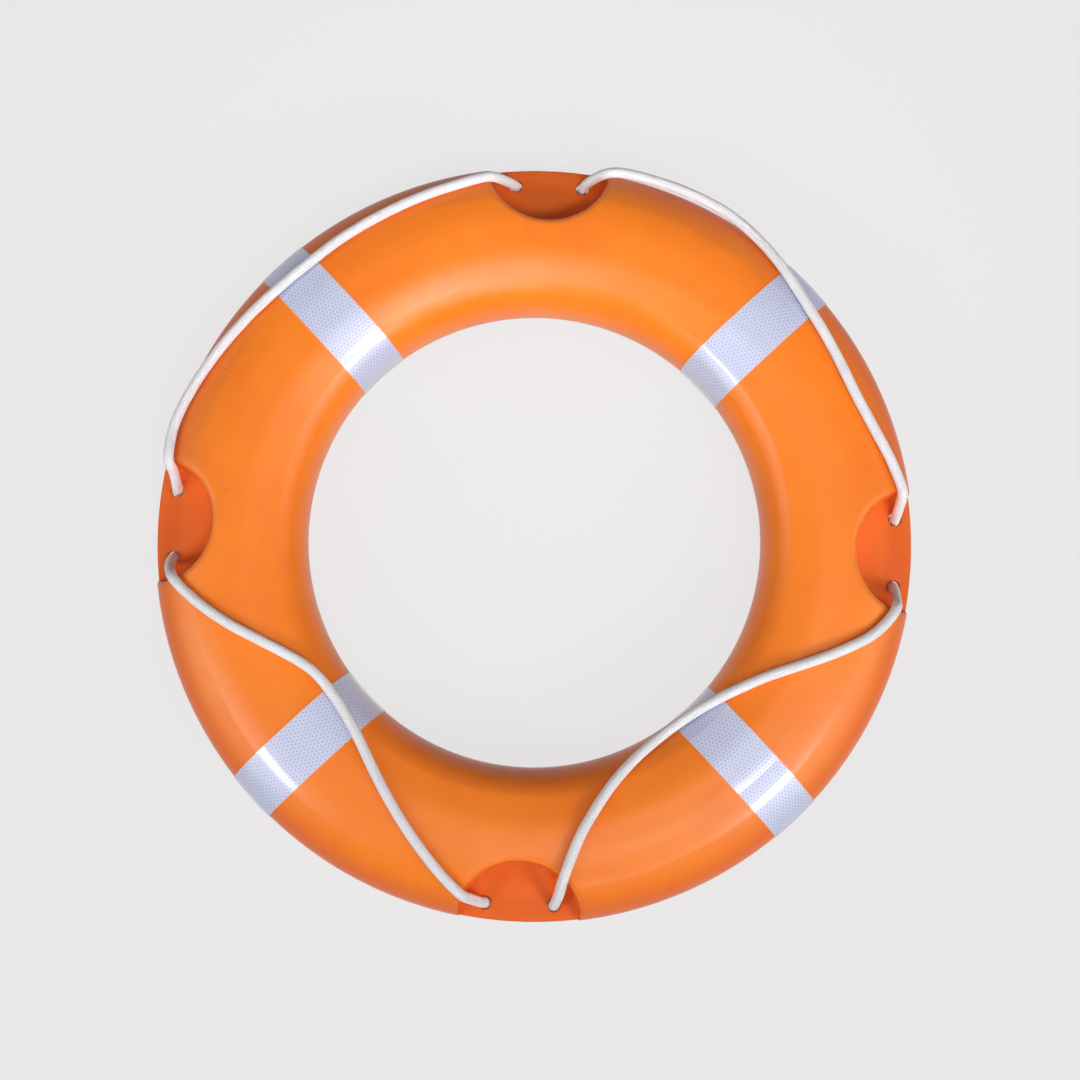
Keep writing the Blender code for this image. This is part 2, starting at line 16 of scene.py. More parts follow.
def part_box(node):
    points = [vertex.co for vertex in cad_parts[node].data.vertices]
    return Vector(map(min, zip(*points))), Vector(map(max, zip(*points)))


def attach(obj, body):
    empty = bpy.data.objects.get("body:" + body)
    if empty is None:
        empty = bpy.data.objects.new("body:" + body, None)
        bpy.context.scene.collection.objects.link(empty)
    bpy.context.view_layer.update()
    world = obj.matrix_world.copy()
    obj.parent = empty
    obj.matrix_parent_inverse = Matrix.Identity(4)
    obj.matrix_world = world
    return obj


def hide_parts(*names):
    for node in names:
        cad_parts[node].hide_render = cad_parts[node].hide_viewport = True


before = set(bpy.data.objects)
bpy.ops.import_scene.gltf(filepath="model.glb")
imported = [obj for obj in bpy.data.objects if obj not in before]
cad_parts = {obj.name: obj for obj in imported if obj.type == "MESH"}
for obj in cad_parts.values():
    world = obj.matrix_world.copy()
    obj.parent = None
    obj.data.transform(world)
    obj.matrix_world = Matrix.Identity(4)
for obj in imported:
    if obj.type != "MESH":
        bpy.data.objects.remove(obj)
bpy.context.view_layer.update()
mm = 0.001
ROOT = "root"
print("CAD nodes:", len(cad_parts))


def add_object(name, data):
    item = bpy.data.objects.new(name, data)
    bpy.context.scene.collection.objects.link(item)
    return item


# %% [markdown]
# ## Camera
#
# The picture was taken from almost straight above, about one and a half metres over the ring.
# Three small turns and a lens length describe it. A camera looks along its own -Z, so the turns
# that bring the ring into the camera's axes are undone to place the camera over the ring.

# %% Camera
frame_width = 1080
focal_pixels = 1547.2
sensor_width = 36
camera_turns = (math.radians(-4.959), math.radians(0.035), math.radians(-2.354))
camera_offset = Vector((5.47, -1.16, 1500)) * mm
shell_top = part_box("shell_upper")[1].z
shell_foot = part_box("shell_lower")[0].z
mid_height = (shell_top + shell_foot) / 2

to_camera = Matrix.Identity(3)
for axis, turn in zip("XYZ", camera_turns):
    to_camera = to_camera @ Matrix.Rotation(turn, 3, axis)
to_world = to_camera.transposed()
camera_data = bpy.data.cameras.new("camera")
camera_data.sensor_width = sensor_width
camera_data.lens = sensor_width * focal_pixels / frame_width
camera = add_object("camera", camera_data)
place = to_world @ camera_offset + Vector((0, 0, mid_height))
camera.matrix_world = Matrix.Translation(place) @ to_world.to_4x4()
bpy.context.scene.camera = camera
print("camera at", [round(value, 4) for value in place], "lens", round(camera_data.lens, 2))

# %% [markdown]
# ## Shader sums
#
# A pattern such as a braid or a honeycomb is arithmetic on coordinates. One small class lets a
# node's output be used in Python sums. A second one adds any node to a node tree, and a third one
# is such a tree for a material.


# %% Sums on sockets
def maths(operation):
    """A method that adds a Math node to the tree of a value."""

    def add_node(self, *others):
        return self.nodes.node("Math", {"operation": operation}, dict(enumerate((self, *others))))

    return add_node


class Value:
    """A number that varies over a surface: an output socket that takes part in sums."""

    __add__ = __radd__ = maths("ADD")
    __mul__ = __rmul__ = maths("MULTIPLY")
    __sub__ = maths("SUBTRACT")
    __truediv__ = maths("DIVIDE")
    floor = maths("FLOOR")
    fraction = maths("FRACT")
    size = maths("ABSOLUTE")
    least = maths("MINIMUM")
    power = maths("POWER")
    wave = maths("SINE")

    def __init__(self, nodes, socket):
        self.nodes = nodes
        self.socket = socket

    def __rsub__(self, other):
        return self.nodes.node("Math", {"operation": "SUBTRACT"}, {0: other, 1: self})

    def part(self, axis):
        """One coordinate of a vector."""
        return self.nodes.node("SeparateXYZ", None, {0: self}, output=axis)

    def ramp(self, low, high, to_low=0.0, to_high=1.0):
        """Smoothly from to_low, at low, to to_high, at high."""
        settings = {"interpolation_type": "SMOOTHSTEP"}
        ends = {"From Min": low, "From Max": high, "To Min": to_low, "To Max": to_high}
        return self.nodes.node("MapRange", settings, {"Value": self, **ends})


class Nodes:
    """A node tree, of a material or of the world, to which node() adds any node."""

    def __init__(self, tree):
        self.tree = tree

    def node(self, kind, settings=None, inputs=None, output=0):
        """Add a node, set it up, fill its inputs with values or links, and return an output."""
        node = self.tree.nodes.new("ShaderNode" + kind)
        for name, value in (settings or {}).items():
            setattr(node, name, value)
        for name, value in (inputs or {}).items():
            self.fill(node.inputs[name], value)
        return Value(self, node.outputs[output])

    def fill(self, socket, value):
        if isinstance(value, Value):
            self.tree.links.new(value.socket, socket)
        else:
            socket.default_value = value

    def seen(self):
        """One for camera, glossy and transmitted rays, and nought for the rays that light."""
        rays = ("Is Camera Ray", "Is Glossy Ray", "Is Transmission Ray")
        return sum(self.node("LightPath", output=ray) for ray in rays).least(1.0)


class Finish(Nodes):
    """A material. Constants sit on the shader's own sockets, and node() adds all else."""

    def __init__(self, name, **constants):
        self.material = bpy.data.materials.new(name)
        self.material.use_nodes = True
        super().__init__(self.material.node_tree)
        self.shader = self.tree.nodes["Principled BSDF"]
        self.set(**constants)

    def set(self, **inputs):
        for name, value in inputs.items():
            self.fill(self.shader.inputs[name.replace("_", " ")], value)

    def blend(self, factor, first, second):
        """A colour between two others."""
        values = {0: factor, 6: first, 7: second}
        return self.node("Mix", {"data_type": "RGBA"}, values, output=2)

    def place(self):
        return self.node("TexCoord", output="Object")

    def noise(self, scale, detail=2.0, roughness=0.5, stretch=None):
        """Cloudy noise on Object coordinates, as a number around a half."""
        where = self.place()
        if stretch:
            where = self.node("Mapping", None, {"Vector": where, **stretch})
        values = {"Vector": where, "Scale": scale, "Detail": detail, "Roughness": roughness}
        return self.node("TexNoise", None, values)

    def scatter(self, scale):
        """Distance to the nearest of many scattered points."""
        values = {"Vector": self.place(), "Scale": scale}
        return self.node("TexVoronoi", None, values, output="Distance")

    def along(self):
        """The two coordinates of the piece's own UV map."""
        both = self.node("UVMap", {"uv_map": "UVMap"})
        return both.part("X"), both.part("Y")

    def bump(self, height, strength, distance):
        values = {"Height": height, "Strength": strength, "Distance": distance}
        return self.node("Bump", None, values)


# %% [markdown]
# ## Helpers for pieces
#
# Every piece becomes a mesh object at the origin, rides on the one rigid body, and takes its
# finish as its material.


# %% Adding a piece
sharp_edge = math.radians(35)
sharp_line_edge = math.radians(80)


def smooth_mesh(bm, name, sharp=sharp_edge):
    mesh = bpy.data.meshes.new(name)
    bm.to_mesh(mesh)
    bm.free()
    mesh.shade_smooth()
    mesh.set_sharp_from_angle(angle=sharp)
    return mesh


def add_piece(name, mesh, finish, node):
    """Put a finished mesh in the scene in the place of the CAD node that it stands for."""
    piece = add_object(name, mesh)
    mesh.materials.clear()
    mesh.materials.append(finish.material)
    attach(piece, ROOT)
    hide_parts(node)
    triangles = sum(len(face.vertices) - 2 for face in mesh.polygons)
    print(f"{name}: {triangles} triangles")
    return piece


def ring_point(angle, radius, level):
    """A point by its angle from +Y towards +X, as seen from above."""
    return Vector((radius * math.sin(angle), radius * math.cos(angle), level))


# %% [markdown]
# ## The grab line
#
# The real line is a white polyester braid of sixteen strands, about 10 mm thick. Its four free
# stretches lie on the ring where the picture shows them, and short held stretches pass under the
# flanges. A cord's places are listed on its route and joined by one smooth curve.
#
# The braid could be sixteen woven tubes, which is heavy and hides most of its faces. A single
# fine tube whose surface is raised strand by strand gives the same outline and light, and its UV
# map carries the strand pattern into the material: one unit of U is a stitch along the line, and
# V counts the strands around it.

# %% The routes of the line
line_radius = 5 * mm
flange_half = 4 * mm
seam_gap = 0.3 * mm
outer_radius = 365 * mm
inner_radius = 220 * mm
hole_inset = 15.6 * mm
hole_spacing = 65.6 * mm
hole_row = outer_radius - hole_inset
hole_angle = math.asin(hole_spacing / 2 / hole_row)
notch_count = 4
quarter = math.tau / notch_count

# Points in millimetres, with the mid plane as height 0
loop_routes = (
    (
        (38.2, 352, 11.3), (49.3, 356.1, 20.5), (57, 357.2, 27.1), (60.6, 357.3, 28.3),
        (68.5, 357.9, 27.2), (86.3, 355.9, 24.9), (117.3, 348.2, 24), (139.5, 339.5, 26.1),
        (164, 328.1, 26.5), (181.4, 316.7, 28.3), (201.8, 298.1, 33.2), (220.4, 275.6, 39.8),
        (235, 253.7, 45.8), (250.9, 227.5, 50.3), (265.3, 204.7, 51.6), (281.8, 175, 53),
        (298.3, 143, 53.2), (315.6, 113.8, 50.8), (331.6, 87.7, 46.6), (342.9, 65.8, 42.1),
        (345.9, 58.6, 41.2), (347.4, 54.7, 38.6), (348.7, 50.2, 28.4), (348.5, 38, 11.4),
    ),
    (
        (347.4, -37.5, 11.7), (345.5, -48.7, 29.3), (343.8, -53.3, 40.4), (341.5, -57.3, 44.2),
        (334.4, -66.7, 48.1), (320.3, -80.1, 53.3), (302.7, -90.5, 57.8), (276.3, -102.6, 59.8),
        (249.3, -113, 58.8), (222.4, -123.4, 55.4), (197.5, -135.4, 51), (177.3, -146.7, 44.6),
        (151.9, -163.4, 38.7), (129.8, -180.5, 37.7), (108.2, -199.3, 42), (89.6, -218.9, 49.3),
        (75, -238.6, 54.1), (58.3, -266.7, 59.4), (49.8, -285.8, 59.8), (41.4, -310.7, 59),
        (39.7, -317, 56.4), (38.7, -320.5, 52.4), (37.2, -332.1, 33.7), (33.6, -345.4, 11.7),
    ),
    (
        (-36.4, -346.7, 11.1), (-45.5, -341.3, 29.2), (-50.9, -337.4, 45.7),
        (-53.1, -335.6, 48.5), (-58, -331.4, 51.1), (-73.5, -315.9, 55.4), (-89.7, -297.1, 58.4),
        (-109.1, -271.6, 59.7), (-125.7, -246.7, 59.1), (-140.4, -221.8, 56.7),
        (-157.8, -190.4, 53.8), (-175.9, -162.9, 52.3), (-192.5, -142.9, 52.5),
        (-207.1, -131, 53.5), (-230.8, -118.4, 56.5), (-253.4, -108, 59.1), (-281.3, -94.6, 59.5),
        (-304.5, -80.6, 58), (-321.1, -68.4, 54), (-334, -57.3, 50.2), (-338, -53, 46.5),
        (-340.3, -50.5, 40), (-346.2, -43, 22.2), (-347.8, -36.5, 11.2),
    ),
    (
        (-347.2, 38.2, 11.2), (-347.7, 50.1, 27.3), (-349.2, 53.6, 35.8), (-350, 58.6, 39.6),
        (-349.8, 66.5, 38.6), (-349.4, 78.5, 36), (-346.1, 95.1, 35.3), (-336.2, 118, 36.7),
        (-321.3, 143.8, 39.9), (-302.9, 169.8, 43.5), (-283.2, 193.5, 46.6),
        (-261.7, 215.6, 49.7), (-240, 236.2, 51.4), (-216.8, 256.9, 51.5), (-194, 276.3, 49.9),
        (-167.8, 294.6, 48.8), (-139.2, 311.1, 47.9), (-111.4, 324.8, 46.2), (-81.8, 336.6, 43.9),
        (-62.9, 343, 42.8), (-55.8, 344.6, 41.2), (-53.3, 345.4, 38.3), (-48, 347.2, 27.5),
        (-37.6, 347.9, 11.7),
    ),
)

holes = [
    ring_point(index * quarter + sign * hole_angle, hole_row, 0)
    for index in range(notch_count)
    for sign in (-1, 1)
]

ease_step = 0.5 * mm
ease_reach = 4.5 * mm
curve_steps = 40
ring_spacing = 0.42 * mm


def evenly(spots, spacing):
    """Points at an even spacing along a line of points, and the length of the line."""
    steps = np.linalg.norm(np.diff(spots, axis=0), axis=1)
    run = np.concatenate(([0], np.cumsum(steps)))
    wanted = np.linspace(0, run[-1], round(run[-1] / spacing))
    columns = [np.interp(wanted, run, column) for column in spots.T]
    return np.stack(columns, axis=1), float(run[-1])


def eased(points):
    """The same curve with its bends eased, because a thick line can't turn on a point."""
    spots, _ = evenly(np.array(points), ease_step)
    reach = ease_reach / ease_step
    pad = round(3 * reach)
    weights = np.exp(-(np.arange(-pad, pad + 1) ** 2) / (2 * reach**2))
    weights /= weights.sum()
    before = 2 * spots[0] - spots[pad:0:-1]
    after = 2 * spots[-1] - spots[-2 : -pad - 2 : -1]
    wide = np.concatenate((before, spots, after))
    return np.stack([np.convolve(column, weights, mode="valid") for column in wide.T], axis=1)


def smooth_path(points):
    """Even points on one smooth curve through points over the mid plane, and its length."""
    points = [Vector((x, y, z + mid_height)) for x, y, z in points]
    ends = [points[0] * 2 - points[1]] + points + [points[-1] * 2 - points[-2]]
    fine = []
    for a, b, c, d in zip(ends, ends[1:], ends[2:], ends[3:]):
        for step in range(curve_steps):
            t = step / curve_steps
            bend = 2 * a - 5 * b + 4 * c - d
            turn = 3 * b - a - 3 * c + d
            fine.append((2 * b + (c - a) * t + bend * t**2 + turn * t**3) / 2)
    spots, length = evenly(eased(fine + [points[-1]]), ring_spacing)
    return [Vector(spot) for spot in spots], length


def headings(spots):
    """The direction of a line at each of its points."""
    ways = np.gradient(spots, axis=0)
    return ways / np.linalg.norm(ways, axis=1)[:, None]


# %% The braided tube
strands = 8
stitch = 2.1 * mm
braid_height = 0.55 * mm
strand_arch = 0.4
ring_sides = 48
end_round = 0.25
end_least = 0.08
tube_merge_reach = 0.02 * mm
askew = (0.31, 0.17, 0.93)


def braid_rise(a, b):
    """Height of the braid where two families of strands, counted by a and b, cross."""
    over = (np.floor(a) + np.floor(b)) % 2 < 0.5
    across = np.where(over, a - np.floor(a), b - np.floor(b)) - 0.5
    beside = np.where(over, b - np.floor(b), a - np.floor(a)) - 0.5
    arch = 1 - strand_arch + strand_arch * np.cos(np.pi * beside)
    return np.sqrt(np.cos(np.pi * across)) * arch


def braided_tube(name, path, radius=line_radius):
    """A tube round a path, raised in a braid, with rounded closed ends and a strand UV map."""
    last = len(path) - 1
    spots = np.array(path)
    ways = headings(spots)
    side = np.cross(ways[0], askew)
    sides = []
    for way in ways:
        side = side - way * side.dot(way)
        side /= np.linalg.norm(side)
        sides.append(side)
    sides = np.array(sides)
    normals = np.cross(ways, sides)
    bm = bmesh.new()
    bm.loops.layers.uv.new("UVMap")
    bmesh.ops.create_grid(bm, x_segments=last, y_segments=ring_sides, size=1, calc_uvs=True)
    places = np.array([vert.co for vert in bm.verts])
    rows = np.rint((places[:, 0] + 1) / 2 * last).astype(int)
    turns = np.rint((places[:, 1] + 1) / 2 * ring_sides) / ring_sides
    step = np.linalg.norm(np.diff(spots, axis=0), axis=1).mean()
    stitches = rows * step / stitch
    rise = braid_rise(strands * turns + stitches, strands * turns - stitches)
    to_end = np.minimum(rows, last - rows) * step
    closing = np.sqrt(np.clip(to_end / (end_round * radius), end_least, 1))
    reach = (radius - braid_height / 2 + braid_height * (rise - 0.5)) * closing
    angle = turns * math.tau
    out = sides[rows] * np.cos(angle)[:, None] + normals[rows] * np.sin(angle)[:, None]
    for vert, spot in zip(bm.verts, spots[rows] + out * reach[:, None]):
        vert.co = spot
    layer = bm.loops.layers.uv.active
    for face in bm.faces:
        for loop in face.loops:
            along, around = loop[layer].uv
            loop[layer].uv = (along * last * step / stitch, around * strands)
    bmesh.ops.remove_doubles(bm, verts=bm.verts, dist=tube_merge_reach)
    rims = [edge for edge in bm.edges if edge.is_boundary]
    bmesh.ops.holes_fill(bm, edges=rims)
    bmesh.ops.recalc_face_normals(bm, faces=bm.faces)
    return smooth_mesh(bm, name, sharp=sharp_line_edge)


# %% [markdown]
# White braid looks alive through its gaps. Between the strands the colour is painted a violet grey,
# as painted shade, and fine yarns run along each strand. The same two strand counts that raise the
# mesh draw both.

# %% Material of the line
rope_white = (0.98, 0.98, 0.98, 1)
# Painted shade: the violet grey between the strands
rope_gap_shade = (0.30, 0.26, 0.46, 1)
yarns = 4

line_finish = Finish("braided_line", Roughness=0.7, Sheen_Weight=0.35, Sheen_Roughness=0.5)
along, around = line_finish.along()
count_a = around + along
count_b = around - along
parity = ((count_a.floor() + count_b.floor()) * 0.5).fraction().size()
over = parity.ramp(0.2, 0.3, 1.0, 0.0)
part_a = count_a.fraction() - 0.5
part_b = count_b.fraction() - 0.5
across = over * part_a + (1 - over) * part_b
beside = over * part_b + (1 - over) * part_a
gap = across.size().ramp(0.37, 0.5) * 0.75 + beside.size().ramp(0.40, 0.5) * 0.5
yarn = (across * (yarns * math.tau)).wave()
grime = line_finish.noise(60, detail=3)
# Painted shade in the gaps between strands, with a little real grime on top
gap_shade_and_grime = gap.least(0.9) + grime.ramp(0.5, 0.8) * 0.08
line_finish.set(
    Base_Color=line_finish.blend(gap_shade_and_grime.least(1.0), rope_white, rope_gap_shade),
    Normal=line_finish.bump(yarn * 0.5 - gap, 0.5, 0.25 * mm),
)


# %% The free stretches
def at_level(spot, level):
    return Vector((spot.x, spot.y, level))


def add_stretch(name, node, points):
    """Add a stretch of the line through points over the mid plane; its path and length too."""
    path, length = smooth_path(points)
    mesh = braided_tube(name, path)
    return add_piece(name, mesh, line_finish, node), path, length


loop_lengths = []
for number, route in enumerate(loop_routes, start=1):
    first = holes[2 * number - 1]
    last = holes[2 * number % len(holes)]
    points = [at_level(first, seam_gap / 2), at_level(first, flange_half)]
    points += [Vector(point) * mm for point in route]
    points += [at_level(last, flange_half), at_level(last, seam_gap / 2)]
    loop, path, length = add_stretch(f"loop_{number}", f"grab_line_loop_{number}", points)
    path[::8] + [path[-1]]
    loop_lengths.append(round(length, 3))
print("free stretches:", loop_lengths, "together", round(sum(loop_lengths), 3))

# %% [markdown]
# Under three of the flanges the line turns back through the next hole. At the fourth notch its
# two ends hang below the flange, each with a stopper knot: the line wraps two and a half times
# round a short straight piece of itself.

# %% The held stretches and the knots
bight_bend = 17 * mm
bight_steps = 6
tail_length = 17 * mm
knot_height = 26 * mm
knot_radius = 14 * mm
knot_line = 4.6 * mm
knot_turns = 2.55
knot_foot = -tail_length - seam_gap
tail_levels = (-seam_gap / 2, -8 * mm, knot_foot - 2 * mm)
wrap_steps = 60
wrap_tuck = 0.25
wrap_opening = 6
core_depths = (0, 14 * mm, 31 * mm)

turn_level = -flange_half - line_radius / 2
half_bight = [(0, -seam_gap / 2), (0, turn_level / 2)]
for step in range(bight_steps + 1):
    angle = math.pi / 2 * step / bight_steps
    shift = bight_bend * (1 - math.cos(angle))
    half_bight.append((shift, turn_level - bight_bend * math.sin(angle)))
for number, notch in enumerate((0, 1, 3), start=1):
    first, last = holes[2 * notch], holes[2 * notch + 1]
    onward = (last - first).normalized()
    points = [at_level(first + onward * shift, level) for shift, level in half_bight]
    points += [at_level(last - onward * shift, level) for shift, level in half_bight[::-1]]
    add_stretch(f"bight_{number}", f"grab_line_bight_{number}", points)

for number, hole in enumerate(holes[4:6], start=1):
    tail = [at_level(hole, level) for level in tail_levels]
    add_stretch(f"tail_{number}", f"grab_line_tail_{number}", tail)
    wraps = []
    for step in range(wrap_steps + 1):
        share = step / wrap_steps
        tucked = min(1.0, wrap_opening * min(share, 1 - share) + wrap_tuck)
        level = knot_foot - knot_line - share * (knot_height - 2 * knot_line)
        radius = (knot_radius - knot_line) * tucked
        wraps.append(hole + ring_point(share * knot_turns * math.tau, radius, level))
    core = [at_level(hole, knot_foot - depth) for depth in core_depths]
    knot = bmesh.new()
    for points in (wraps, core):
        tube = braided_tube("tube", smooth_path(points)[0], radius=knot_line)
        knot.from_mesh(tube)
        bpy.data.meshes.remove(tube)
    mesh = smooth_mesh(knot, f"knot_{number}", sharp=sharp_line_edge)
    add_piece(f"knot_{number}", mesh, line_finish, f"stopper_knot_{number}")

# %% [markdown]
# ## The section of the ring
#
# The ring is a turned body: one section, swept round. Its upper half runs from the outer rim over
# a shoulder, a nearly flat crown and the inner shoulder down to the inner rim. Five short curves
# that meet in common tangents describe it, and the same line, moved outwards by a small amount,
# carries the tape.

# %% The section
crown_height = 54 * mm
crown_flat = 16 * mm
outer_rim_height = 5 * mm
inner_rim_height = 3 * mm
outer_shoulder = 37.5 * mm
inner_shoulder = 22.5 * mm
outer_crease_drop = 5 * mm
inner_crease_drop = 8 * mm
crown_slope_outer = math.radians(15)
crown_slope_inner = math.radians(17)
shoulder_slope_outer = math.radians(28)
shoulder_slope_inner = math.radians(30)
rim_handle_outer = 0.55
rim_handle_inner = 0.6
shoulder_handle = 0.45
crown_radius = (outer_radius - outer_shoulder + inner_radius + inner_shoulder) / 2
wall = 2 * mm


def bezier(start, start_handle, end_handle, end, steps):
    """Points and directions along one cubic curve, without its first point."""
    corners = np.array([start, start_handle, end_handle, end])
    points = []
    for step in range(1, steps + 1):
        t = step / steps
        s = 1 - t
        spot = np.array([s**3, 3 * s * s * t, 3 * s * t * t, t**3]) @ corners
        way = np.array([s * s, 2 * s * t, t * t]) @ np.diff(corners, axis=0)
        points.append((spot, way / np.linalg.norm(way)))
    return points


def section(inset, steps):
    """The upper half of the section as (radius, height), moved into the ring by an inset."""
    crease_outer = np.array([outer_radius - outer_shoulder, crown_height - outer_crease_drop])
    crease_inner = np.array([inner_radius + inner_shoulder, crown_height - inner_crease_drop])
    flat_outer = np.array([crown_radius + crown_flat / 2, crown_height])
    flat_inner = np.array([crown_radius - crown_flat / 2, crown_height])
    rim_outer = np.array([outer_radius, outer_rim_height])
    rim_inner = np.array([inner_radius, inner_rim_height])
    up = np.array([0.0, 1.0])
    flat = (flat_inner - flat_outer) / 3

    def lean(angle, outward, length):
        return np.array([outward * math.cos(angle), -math.sin(angle)]) * length

    rise_outer = rim_handle_outer * (crease_outer[1] - rim_outer[1])
    rise_inner = rim_handle_inner * (crease_inner[1] - rim_inner[1])
    run_outer = (crease_outer[0] - flat_outer[0]) / 3
    run_inner = (flat_inner[0] - crease_inner[0]) / 3
    shoulder_outer = lean(shoulder_slope_outer, 1, shoulder_handle * outer_shoulder)
    shoulder_inner = lean(shoulder_slope_inner, -1, shoulder_handle * inner_shoulder)
    # Each corner has a handle towards the corner before it and one towards the corner after it
    corners = (
        (rim_outer, None, up * rise_outer),
        (crease_outer, shoulder_outer, -lean(crown_slope_outer, 1, run_outer)),
        (flat_outer, np.array([run_outer, 0.0]), flat),
        (flat_inner, -flat, np.array([-run_inner, 0.0])),
        (crease_inner, -lean(crown_slope_inner, -1, run_inner), shoulder_inner),
        (rim_inner, up * rise_inner, None),
    )
    points = [(rim_outer, up)]
    for (start, _, ahead), (end, behind, _), count in zip(corners, corners[1:], steps):
        spot, last_way = points[-1]
        points[-1] = (spot, last_way + ahead / np.linalg.norm(ahead))
        points += bezier(start, start + ahead, end + behind, end, count)
    line = []
    for spot, way in points:
        way = way / np.linalg.norm(way)
        line.append(spot - np.array([way[1], -way[0]]) * inset)
    return np.array(line)


# %% [markdown]
# ## The face of a half shell
#
# A round notch bites into the rim at four places, and a soft fillet runs round its upper edge.
# Cutting the notch with a boolean leaves a sharp edge on a curved face, which a bevel can't round
# evenly. So the face is a bent grid instead: its lines climb the notch's wall, go round the fillet
# and run on over the ring, and every vertex lies exactly on the swept section. A second, plainer
# grid fills the stretch between two notches.

# %% The bent grid round a notch
notch_radius = 56 * mm
notch_draft = math.radians(8)
notch_fillet = 7 * mm
band_zone = math.radians(7.5)
side_end = math.radians(60)
joint_base = 1 * mm
merge_reach = 0.01 * mm
slope_reach = 0.2 * mm
table_steps = 12
straight_share = 0.7
spread_from = 0.4
fillet_share = 0.35
settle_rounds = 40


class Skin:
    """A surface that follows the upper half of the ring at a constant depth under its face."""

    def __init__(self, inset, steps, fillet, top, strip):
        self.inset = inset
        self.fillet_steps = fillet
        self.half_top = top // 2
        self.strip_columns = strip
        self.line = section(inset, steps)
        fine = section(inset, tuple(table_steps * count for count in steps))
        self.radii = fine[::-1, 0]
        self.heights = fine[::-1, 1]
        self.rim = self.line[0, 0]
        self.width = self.rim - self.line[-1, 0]
        self.depths = self.rim - self.line[:, 0]
        self.wall_radius = notch_radius + inset
        self.first_depth = self.wall_radius + crown_height * math.tan(notch_draft) + notch_fillet
        self.row_depths = [d for d in self.depths if d > self.first_depth + notch_fillet]
        self.side_depth = self.depth_at(self.wall_radius, side_end)

    def height(self, depth):
        return float(np.interp(self.rim - depth, self.radii, self.heights))

    def depth_at(self, distance, angle):
        """Depth from the rim of a point seen from the notch's centre, which lies on the rim."""
        square = outer_radius**2 + distance**2 - 2 * outer_radius * distance * math.sin(angle)
        return self.rim - math.sqrt(square)

    def turn_at(self, distance, depth):
        """Angle round the ring of the point at a distance from the notch and a depth."""
        radius = self.rim - depth
        rise = (outer_radius**2 + distance**2 - radius**2) / (2 * outer_radius * distance)
        rise = min(1.0, rise)
        sideways = distance * math.sqrt(1 - rise * rise)
        return math.atan2(sideways, outer_radius - distance * rise)

    def column(self, wall_depth, spread, end_turn, end_depth):
        """One line of points up the notch's wall, round its fillet and over the ring."""
        tangent = math.tan(notch_draft)

        def depth_of(distance):
            return wall_depth + spread * (distance - self.wall_radius)

        def height_of(distance):
            return self.height(depth_of(distance))

        fillet = min(notch_fillet, fillet_share * height_of(self.wall_radius + notch_fillet))
        touch = self.wall_radius + fillet
        for _ in range(settle_rounds):
            rise = height_of(touch + slope_reach) - height_of(touch - slope_reach)
            slope = rise / (2 * slope_reach)
            length = math.hypot(1, slope)
            centre_z = height_of(touch) - fillet / length
            centre_d = self.wall_radius + centre_z * tangent + fillet / math.cos(notch_draft)
            touch += (centre_d - fillet * slope / length - touch) / 2
        places = [(self.wall_radius + joint_base * tangent, joint_base)]
        begin = math.pi - notch_draft
        finish = math.pi / 2 + math.atan(slope)
        for step in range(self.fillet_steps + 1):
            angle = begin + (finish - begin) * step / self.fillet_steps
            distance = centre_d + fillet * math.cos(angle)
            places.append((distance, centre_z + fillet * math.sin(angle)))
        points = []
        for distance, level in places:
            depth = depth_of(distance)
            points.append((self.turn_at(distance, depth), self.rim - depth, level))
        last_turn, last_depth = points[-1][0], depth
        rows = len(self.row_depths)
        for row, row_depth in enumerate(self.row_depths, start=1):
            turn = last_turn + (end_turn - last_turn) * row / rows
            depth = row_depth
            if end_depth < self.width:
                share = (row_depth - self.first_depth) / (self.width - self.first_depth)
                depth = last_depth + (end_depth - last_depth) * share
            points.append((turn, self.rim - depth, self.height(depth)))
        return points

    def half_columns(self):
        """Columns from the rim beside the notch to the middle of the notch."""
        edge = quarter / 2 - band_zone
        straight = straight_share * self.wall_radius
        face_marks = (0, straight, self.width)
        wall_marks = (0, straight, self.side_depth)
        columns = []
        for depth in self.depths:
            wall_depth = np.interp(depth, face_marks, wall_marks)
            spread = np.interp(wall_depth / straight, (spread_from, 1), (0, 1))
            rise = min(1.0, (wall_depth + self.inset) / self.wall_radius)
            columns.append(self.column(wall_depth, spread * rise, edge, depth))
        for index in range(1, self.half_top + 1):
            share = index / self.half_top
            angle = side_end + (math.pi / 2 - side_end) * share
            wall_depth = self.depth_at(self.wall_radius, angle)
            columns.append(self.column(wall_depth, math.sin(angle), edge * (1 - share), self.width))
        return columns

    def surface(self):
        """The whole upper face: bent grids, one at each notch and one at each band."""
        half = self.half_columns()
        mirrored = [[(-turn, radius, level) for turn, radius, level in line] for line in half]
        columns = mirrored + half[-2::-1]
        edge = quarter / 2 - band_zone
        steps = self.strip_columns
        turns = [edge + 2 * band_zone * step / steps for step in range(steps + 1)]
        strip = [[(turn, radius, level) for turn in turns] for radius, level in self.line]
        bm = bmesh.new()
        for index in range(notch_count):
            for grid in (columns, strip):
                bend_grid(bm, grid, index * quarter)
        bmesh.ops.remove_doubles(bm, verts=bm.verts, dist=merge_reach)
        return bm


def bend_grid(bm, columns, turn=0.0):
    """Add a grid whose vertices take the given (angle, radius, height) places."""
    across = len(columns) - 1
    along = len(columns[0]) - 1
    made = bmesh.ops.create_grid(bm, x_segments=across, y_segments=along, size=1)
    for vert in made["verts"]:
        column = round((vert.co.x + 1) / 2 * across)
        row = round((vert.co.y + 1) / 2 * along)
        angle, radius, level = columns[column][row]
        vert.co = ring_point(angle + turn, radius, level)
    return made["verts"]


# %% [markdown]
# ## A whole half shell
#
# The shell is hollow, 2 mm thick, and the foam fills it. The face and a plainer lining are joined
# by a flat seam along both rims. The flange is a plate that closes each notch, added with a
# boolean, and round cutters with a flared mouth drill the rope holes.

